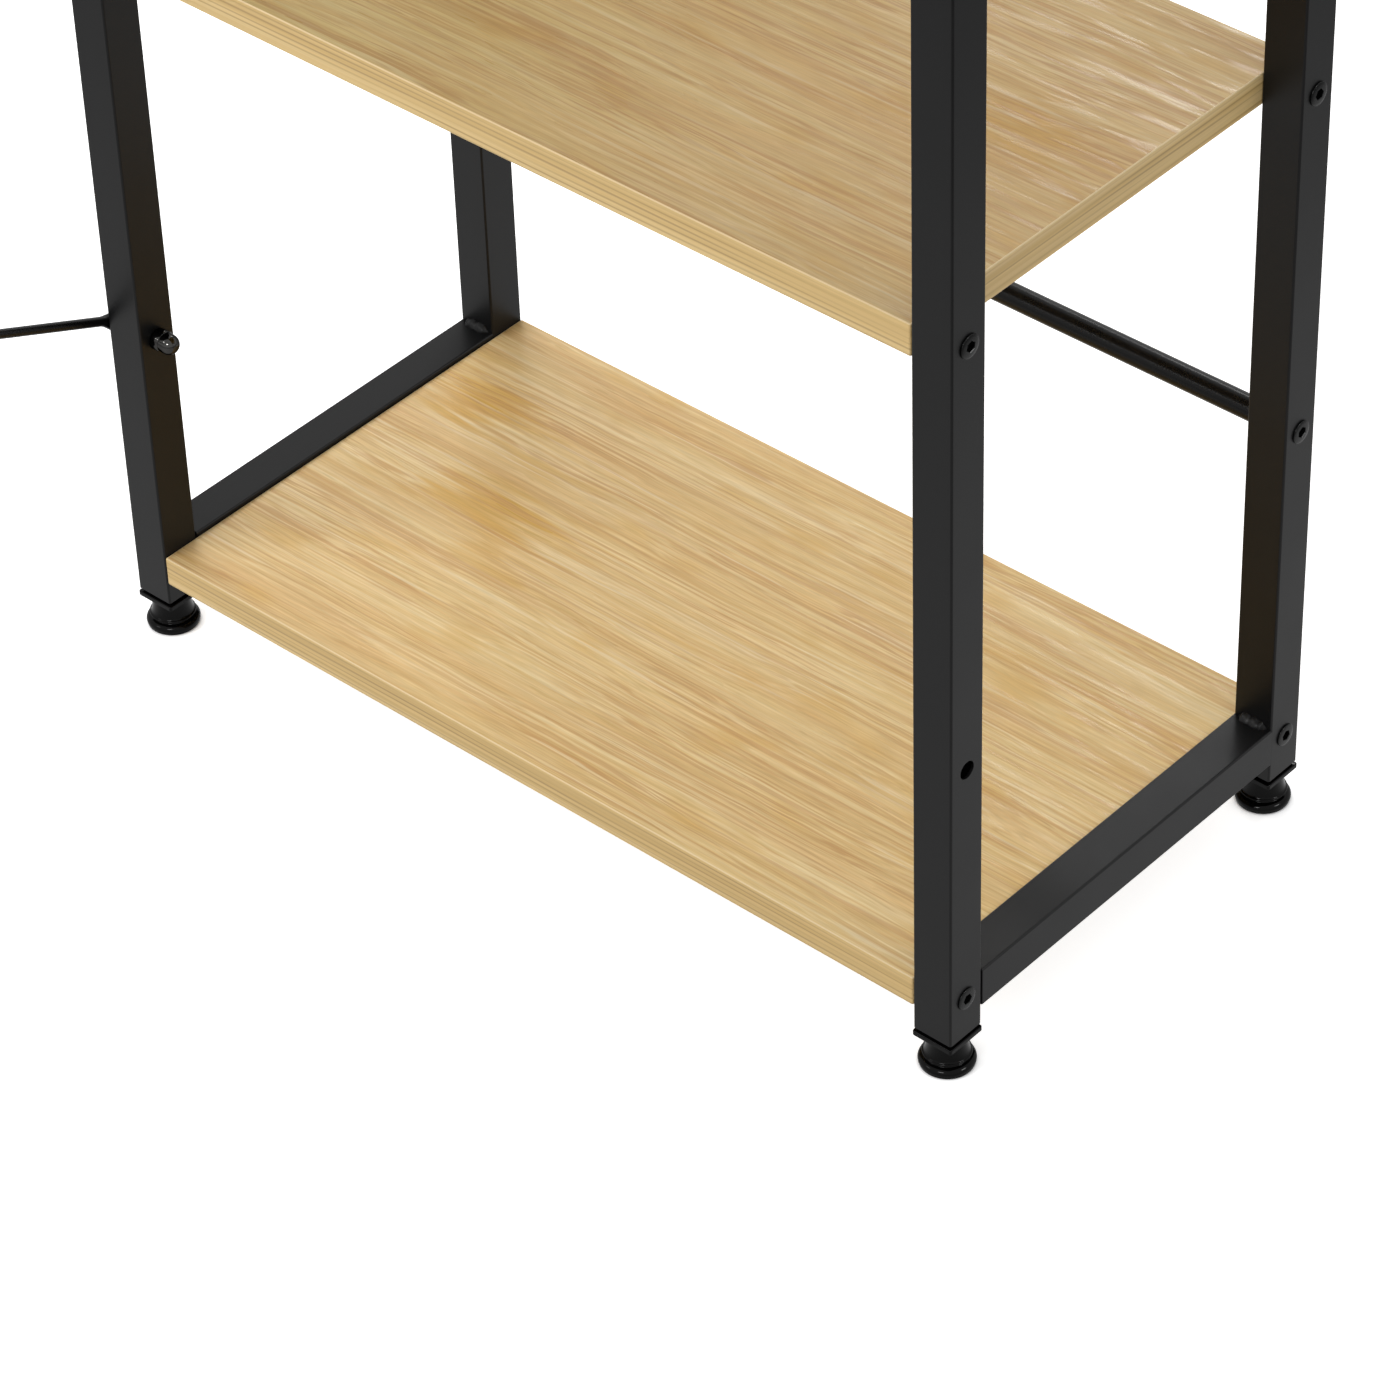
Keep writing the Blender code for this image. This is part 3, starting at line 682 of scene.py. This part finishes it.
def headed_shape(shank, head, head_height, key, length):
    """A round-headed bolt along +Z with a hexagon socket; the underside of its head is at 0."""
    sides = 48
    rounding = 0.35 * head_height
    dome = 0.20 * head_height
    socket_depth = 0.0024
    socket = head_height - socket_depth
    socket_mouth = key * 1.10
    crown_inset = 0.0006
    edge = 0.0002
    tip = 0.0004
    rings = [[(0, 0, socket - tip)],
             hex_ring(key, socket, sides),
             hex_ring(key, head_height - edge, sides),
             hex_ring(socket_mouth, head_height, sides)]
    crown = [(head - 2 * rounding - crown_inset, head_height - 0.3 * dome)]
    crown += arc((head - rounding, head_height - dome - rounding), rounding, radians(75), 0, 6)
    profile = [*crown, (head, edge), (head - edge, 0), (shank, 0), (shank, tip - length),
               (shank - tip, -length), (0, -length)]
    rings += [round_ring(radius, height, sides) for radius, height in profile]
    return skinned(rings)


def add_black_steel(node, shape, place):
    mesh = mesh_from(shape, node, place)
    add_piece(f"{node}_fine", mesh, [BOLT_BLACK], "frame", [node])


def add_bolt(node, outward, turn):
    """A bolt along X, turned about its axis as the fitter left it."""
    low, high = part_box(node)
    centre = middle(node)
    length = high.x - low.x - BOLT_STAND
    seat = high.x - BOLT_STAND if outward > 0 else low.x + BOLT_STAND
    place = Matrix.Translation((seat, centre.y, centre.z)) @ Matrix.Rotation(outward * pi / 2, 4, "Y")
    place = place @ Matrix.Rotation(radians(turn), 4, "Z")
    add_black_steel(node, headed_shape(BOLT_SHANK, BOLT_HEAD, BOLT_HEAD_HEIGHT, BOLT_KEY, length), place)


def add_top_screw(node):
    centre = middle(node)
    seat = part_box(node)[0].z + SCREW_HEAD_HEIGHT
    place = Matrix.Translation((centre.x, centre.y, seat)) @ Matrix.Rotation(pi, 4, "X")
    length = height_of(node) - SCREW_HEAD_HEIGHT
    add_black_steel(node, headed_shape(SCREW_SHANK, SCREW_HEAD, SCREW_HEAD_HEIGHT, SCREW_KEY, length), place)


# Each socket is left at an angle of its own, in degrees
socket_turn = 7
for side, outward in SIDES.items():
    for end in ENDS:
        for shelf in ("lower_shelf", "middle_shelf"):
            add_bolt(f"{shelf}_bolt_{end}_{side}", outward, socket_turn)
            socket_turn += 23
        add_top_screw(f"top_screw_{end}_{side}")
    add_bolt(f"stretcher_bolt_{side}", outward, socket_turn)
    socket_turn += 17
add_bolt("tie_bolt", -1, 12)


def add_cap_nut():
    node = "tie_cap_nut"
    low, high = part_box(node)
    centre = middle(node)
    sides = 48
    dome = 0.00475
    flat = 0.005
    corner = 0.0053
    seat_corner = 0.0051
    seat_trim = 0.0004
    hexagon_top = 0.0040
    shoulder = 0.0045
    dome_start = 0.0046
    turn = radians(20)
    thread_end = 0.008
    rings = [[(0, 0, thread_end)], round_ring(THREAD_BORE, thread_end, sides),
             round_ring(THREAD_BORE, 0, sides),
             hex_ring(flat, 0, sides, seat_corner), hex_ring(flat, seat_trim, sides, corner),
             hex_ring(flat, hexagon_top, sides, corner), hex_ring(flat, shoulder, sides, flat)]
    cap = [(dome, dome_start), *arc((0, high.x - low.x - dome), dome, 0, pi / 2, 16)]
    rings += [round_ring(radius, height, sides) for radius, height in cap]
    place = Matrix.Translation((low.x, centre.y, centre.z)) @ TURN_TO_X
    place = place @ Matrix.Rotation(turn, 4, "Z")
    mesh = mesh_from(skinned(rings), node, place, sharp=40)
    add_piece("tie_cap_nut_fine", mesh, [BLACK_CHROME], "frame", [node])


add_cap_nut()


# Stretcher and tie link

def add_stretcher():
    node = "stretcher"
    low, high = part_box(node)
    centre = middle(node)
    radius = (high.z - low.z) / 2
    length = high.x - low.x
    depth = 0.016
    edge = 0.0004
    profile = [(0, depth), (THREAD_BORE, depth), (THREAD_BORE, 0), (radius - edge, 0), (radius, edge),
               (radius, length - edge), (radius - edge, length), (THREAD_BORE, length),
               (THREAD_BORE, length - depth), (0, length - depth)]
    place = Matrix.Translation((low.x, centre.y, centre.z)) @ TURN_TO_X
    mesh = mesh_from(turned(profile, 64), node, place)
    add_piece("stretcher_rod", mesh, [GLOSS_PAINT], "frame", [node])


def tie_sections(length):
    """(distance, half width, half thickness, flatness) of each section, from eye end to eye end."""
    eye = 0.006
    flat = 0.001
    rod = 0.00225
    neck_length = 0.011
    pressed = 3.0
    eye_start = radians(172)
    eye_stop = radians(60)
    steps = 16
    near_end = []
    for step in range(steps + 1):
        angle = eye_start + (eye_stop - eye_start) * step / steps
        near_end.append((eye * cos(angle), eye * sin(angle), flat, pressed))
    neck_start, neck_width = near_end[-1][:2]
    for step in range(1, steps + 1):
        ease = (1 - cos(pi * step / steps)) / 2
        near_end.append((neck_start + neck_length * step / steps, neck_width * (1 - ease) + rod * ease,
                         flat * (1 - ease) + rod * ease, pressed * (1 - ease) + ease))
    return near_end + [(length - section[0], *section[1:]) for section in reversed(near_end)]


def add_tie_link():
    """A rod pressed flat and pierced at both ends."""
    node = "tie_link"
    length = 0.095
    rise_angle = radians(24)
    hole_run = 0.012
    sides = 32
    rings = []
    for distance, width, thick, flatness in tie_sections(length):
        ring = []
        for step in range(sides):
            angle = 2 * pi * (step + 0.5) / sides
            bulge = max(-1, min(1, flatness * cos(angle)))
            ring.append((distance, thick + thick * bulge, width * sin(angle)))
        rings.append(ring)
    shape = skinned(rings)
    for ring in (shape.verts[:sides], shape.verts[-sides:]):
        shape.faces.new(ring)
    reach = Vector((0, -cos(rise_angle), sin(rise_angle)))
    outward = Vector((-1, 0, 0))
    turn = Matrix((reach, outward, reach.cross(outward))).transposed().to_4x4()
    hole = middle("tie_bolt")
    place = Matrix.Translation((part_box(node)[1].x, hole.y, hole.z)) @ turn
    across = Matrix.Rotation(pi / 2, 4, "X")
    cutters = [(BOLT_HOLE, hole_run, place @ Matrix.Translation((distance, 0, 0)) @ across)
               for distance in (0, length)]
    mesh = cut(mesh_from(shape, node, place), cutters)
    add_piece("tie_link_rod", mesh, [GLOSS_PAINT], "frame", [node])


add_stretcher()
add_tie_link()


# Levelling feet

def foot_profile():
    """Trumpet foot: collar, hollow flare with a rounded lip, groove, thick rounded rim, sole."""
    seat_end = 0.003
    collar = 0.0089
    flare = 0.0107
    flare_height = 0.0069
    flare_steps = 14
    bore_edge = 0.0003
    edge = 0.0004
    lip = 0.0005
    lip_inset = 0.0003
    groove = (0.0103, 0.0053)
    groove_radius = 0.0010
    rim = (0.01025, 0.0023)
    rim_radius = 0.0022
    top = FOOT_HEIGHT - edge
    points = [(0, seat_end), (THREAD_BORE, seat_end), (THREAD_BORE, FOOT_HEIGHT - bore_edge),
              (THREAD_BORE + bore_edge, FOOT_HEIGHT)]
    points += arc((collar - edge, top), edge, pi / 2, 0, 3)
    for step in range(1, flare_steps + 1):
        angle = pi / 2 * step / flare_steps
        points.append((collar + (flare - lip_inset - collar) * (1 - cos(angle)),
                       top - (top - flare_height) * sin(angle)))
    points += arc((flare - lip, flare_height - lip), lip, radians(75), radians(-60), 6)
    points += arc(groove, groove_radius, radians(130), radians(230), 8)
    points += arc(rim, rim_radius, radians(78), radians(-25), 16)
    points += [(0.0121, 0.0008), (0.01195, 0.0003), (0.0116, 0), (0, 0)]
    return points


def stud_shape(length):
    """A threaded stud along Z: a helical ridge that fades out at both ends."""
    sides = 32
    rows_per_turn = 6
    rows = int(length / THREAD_PITCH * rows_per_turn)
    depth = 0.00045
    run_out = 0.0015
    rings = [[(0, 0, 0)], round_ring(STUD_RADIUS - depth, 0, sides)]
    for row in range(1, rows):
        height = length * row / rows
        fade = min(1, height / run_out, (length - height) / run_out)
        ring = []
        for step in range(sides):
            phase = (height / THREAD_PITCH - step / sides) % 1
            ridge = 1 - abs(2 * phase - 1)
            radius = STUD_RADIUS - depth + depth * ridge * fade
            angle = 2 * pi * step / sides
            ring.append((radius * cos(angle), radius * sin(angle), height))
        rings.append(ring)
    rings += [round_ring(STUD_RADIUS - depth, length, sides), [(0, 0, length)]]
    return skinned(rings)


def square_hole(size, corner, radius, height):
    """A circle with one point for each point of a rounded square."""
    points = []
    for x, y, _ in rounded_square(size, corner, height):
        reach = sqrt(x * x + y * y)
        points.append((radius * x / reach, radius * y / reach, height))
    return points


def plug_shape(low, high):
    """A square plug along Z: a rounded flange below, neck and body above it as one, bored for the stud."""
    flange = high.x - low.x
    length = high.z - low.z
    thick = 0.0026
    rim = 0.0005
    rim_steps = 6
    flange_corner = 0.0012
    play = 0.0006
    body = TUBE - 2 * TUBE_WALL - play
    body_corner = 0.0003
    rings = [square_hole(body, body_corner, THREAD_BORE, 0)]
    for step in range(rim_steps + 1):
        angle = pi / 2 * step / rim_steps
        inset = rim * (1 - sin(angle))
        rings.append(rounded_square(flange - 2 * inset, flange_corner - inset, rim * (1 - cos(angle))))
    for step in range(rim_steps + 1):
        angle = pi / 2 * step / rim_steps
        inset = rim * (1 - cos(angle))
        height = thick - rim * (1 - sin(angle))
        rings.append(rounded_square(flange - 2 * inset, flange_corner - inset, height))
    rings += [rounded_square(body, body_corner, thick), rounded_square(body, body_corner, length),
              square_hole(body, body_corner, THREAD_BORE, length)]
    return skinned(rings, closed=True)


for side in SIDES:
    for end in ENDS:
        corner = f"{end}_{side}"
        node = f"foot_plug_{corner}"
        mesh = mesh_from(plug_shape(*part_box(node)), node, standing(node), sharp=50)
        piece = add_piece(f"{node}_fine", mesh, [PLASTIC], "frame", [node])
        flatten_normals(piece)
        node = f"foot_base_{corner}"
        mesh = mesh_from(turned(foot_profile(), 64), node, standing(node), sharp=50)
        add_piece(f"{node}_fine", mesh, [PLASTIC], f"foot_{corner}", [node])
        node = f"foot_stud_{corner}"
        mesh = mesh_from(stud_shape(height_of(node)), node, standing(node), sharp=60)
        add_piece(f"{node}_thread", mesh, [ZINC], f"stud_{corner}", [node])


# Solids that stay as they are

def dress(prefix, material):
    for name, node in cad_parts.items():
        if name.startswith(prefix):
            node.data.materials.clear()
            node.data.materials.append(material)


dress("lower_shelf_sleeve", ZINC)
dress("middle_shelf_sleeve", ZINC)


# Floor, light and camera

def painted_floor_reflection(tree):
    """Painted reflection: the floor's brightness in reflections, as a pool of light that is less far out,
    less near the right front, less at the right.
    """
    brightest = 0.94
    far_loss = 0.38
    front_corner = (0.2, -0.2, 0)
    corner_loss = 0.20
    right_loss = 0.45
    place = add(tree, "TexCoord").outputs["Object"]
    away = vector(tree, "LENGTH", place)
    pool = calc(tree, "SUBTRACT", brightest, between(tree, away, 0.2, 1.2, far_loss))
    from_corner = vector(tree, "DISTANCE", place, front_corner)
    corner = calc(tree, "ADD", 1 - corner_loss, between(tree, from_corner, 0.1, 0.55, corner_loss))
    pool = calc(tree, "MULTIPLY", pool, corner)
    right = between(tree, parts(tree, place)[0], 0.48, 0.74, right_loss)
    return calc(tree, "MULTIPLY", pool, calc(tree, "SUBTRACT", 1.0, right))


def add_floor():
    """A floor that is white to the camera, a painted pool of light in reflections, and dark at contacts,
    partly its real shadow and partly painted shadow.
    """
    half_size = 15
    contact_reach = 0.022
    grey = 0.80
    lift_strength = 0.75
    shape = bmesh.new()
    bmesh.ops.create_grid(shape, x_segments=1, y_segments=1, size=half_size)
    floor = bpy.data.objects.new("floor", mesh_from(shape, "floor"))
    bpy.context.scene.collection.objects.link(floor)
    material = bpy.data.materials.new("white_floor")
    material.use_nodes = True
    tree = material.node_tree
    tree.nodes.clear()
    path = add(tree, "LightPath").outputs
    seen = calc(tree, "MAXIMUM", path["Is Camera Ray"], path["Is Transmission Ray"])
    # Painted shadow: ambient occlusion dims the floor's white lift near contacts, and dims the reflected
    # floor as well
    contact = add(tree, "AmbientOcclusion", {"samples": 8}, {"Distance": contact_reach}).outputs["AO"]
    clear = between(tree, contact, 0.28, 0.80)
    reflection_outside_painted_shadow = between(tree, contact, 0.20, 1.0)
    paint = add(tree, "BsdfDiffuse", None, {"Color": (grey, grey, grey, 1)})
    glow = calc(tree, "MULTIPLY", calc(tree, "MULTIPLY", seen, clear), lift_strength)
    lift = add(tree, "Emission", None, {"Strength": glow})
    direct = add(tree, "AddShader", None, {0: paint.outputs[0], 1: lift.outputs[0]})
    # Painted reflection: to glossy rays the floor is only this glowing pool, dimmed near contacts by painted
    # shadow
    shine = calc(tree, "MULTIPLY", reflection_outside_painted_shadow, painted_floor_reflection(tree))
    mirrored = add(tree, "Emission", None, {"Strength": shine})
    both = add(tree, "MixShader", None,
               {0: path["Is Glossy Ray"], 1: direct.outputs[0], 2: mirrored.outputs[0]})
    add(tree, "OutputMaterial", None, {"Surface": both.outputs[0]})
    floor.data.materials.append(material)


def add_world():
    """A white surround, at full strength where it is seen or mirrored and at half strength as light."""
    as_light = 0.5
    world = bpy.data.worlds.new("studio")
    bpy.context.scene.world = world
    world.use_nodes = True
    tree = world.node_tree
    tree.nodes.clear()
    path = add(tree, "LightPath").outputs
    seen = calc(tree, "MAXIMUM", path["Is Camera Ray"], path["Is Glossy Ray"])
    seen = calc(tree, "MAXIMUM", seen, path["Is Transmission Ray"])
    strength = calc(tree, "MULTIPLY_ADD", seen, 1 - as_light, as_light)
    sky = add(tree, "Background", None, {"Color": (1, 1, 1, 1), "Strength": strength})
    add(tree, "OutputWorld", None, {"Surface": sky.outputs[0]})


def add_softbox(name, place, target, size, power, rays):
    """A soft lamp for one kind of rays: diffuse for its light, glossy for its reflection."""
    light = bpy.data.lights.new(name, "AREA")
    light.shape = "RECTANGLE"
    light.size, light.size_y = size
    light.energy = power
    lamp = bpy.data.objects.new(name, light)
    lamp.location = place
    lamp.rotation_euler = (Vector(target) - Vector(place)).to_track_quat("-Z", "Y").to_euler()
    lamp.visible_camera = False
    lamp.visible_diffuse = rays == "diffuse"
    lamp.visible_glossy = rays == "glossy"
    bpy.context.scene.collection.objects.link(lamp)


def add_camera():
    """The camera that was solved from the straight edges in the photo."""
    data = bpy.data.cameras.new("camera")
    data.sensor_width = 36
    data.lens = 143.36
    camera = bpy.data.objects.new("camera", data)
    right = Vector((0.7504, 0.6605, -0.0272))
    up = Vector((-0.4072, 0.4943, 0.7680))
    turn = Matrix((right, up, right.cross(up))).transposed().to_4x4()
    camera.matrix_world = Matrix.Translation((1.30397, -1.37768, 1.60674)) @ turn
    bpy.context.scene.collection.objects.link(camera)
    bpy.context.scene.camera = camera


LAMP_TARGET = (0, 0.04, 0.20)

add_floor()
add_world()
add_softbox("key", (-1.1, -2.0, 1.80), LAMP_TARGET, (1.8, 1.4), 42, "diffuse")
add_softbox("fill", (2.2, 0.3, 1.50), LAMP_TARGET, (1.4, 1.2), 8.5, "diffuse")
add_softbox("side", (-1.5, 0.8, 0.90), (-0.1, 0.05, 0.05), (1.2, 0.6), 16, "diffuse")
add_softbox("front_shine", (0.85, -2.3, 1.80), LAMP_TARGET, (0.8, 0.4), 30, "glossy")
add_softbox("right_shine", (2.3, 0.55, 1.60), LAMP_TARGET, (0.7, 0.4), 26, "glossy")
add_softbox("left_shine", (-1.27, -1.84, 1.70), LAMP_TARGET, (0.6, 0.4), 7, "glossy")
add_softbox("glint", (-0.64, 1.38, 1.40), (0.21, 0.13, 0.38), (0.28, 0.22), 2.4, "glossy")
add_softbox("rear_glint", (-0.86, 1.46, 1.40), (0.15, 0.11, 0.05), (0.35, 0.14), 0.7, "glossy")
add_camera()
bpy.context.scene.view_settings.view_transform = "Standard"
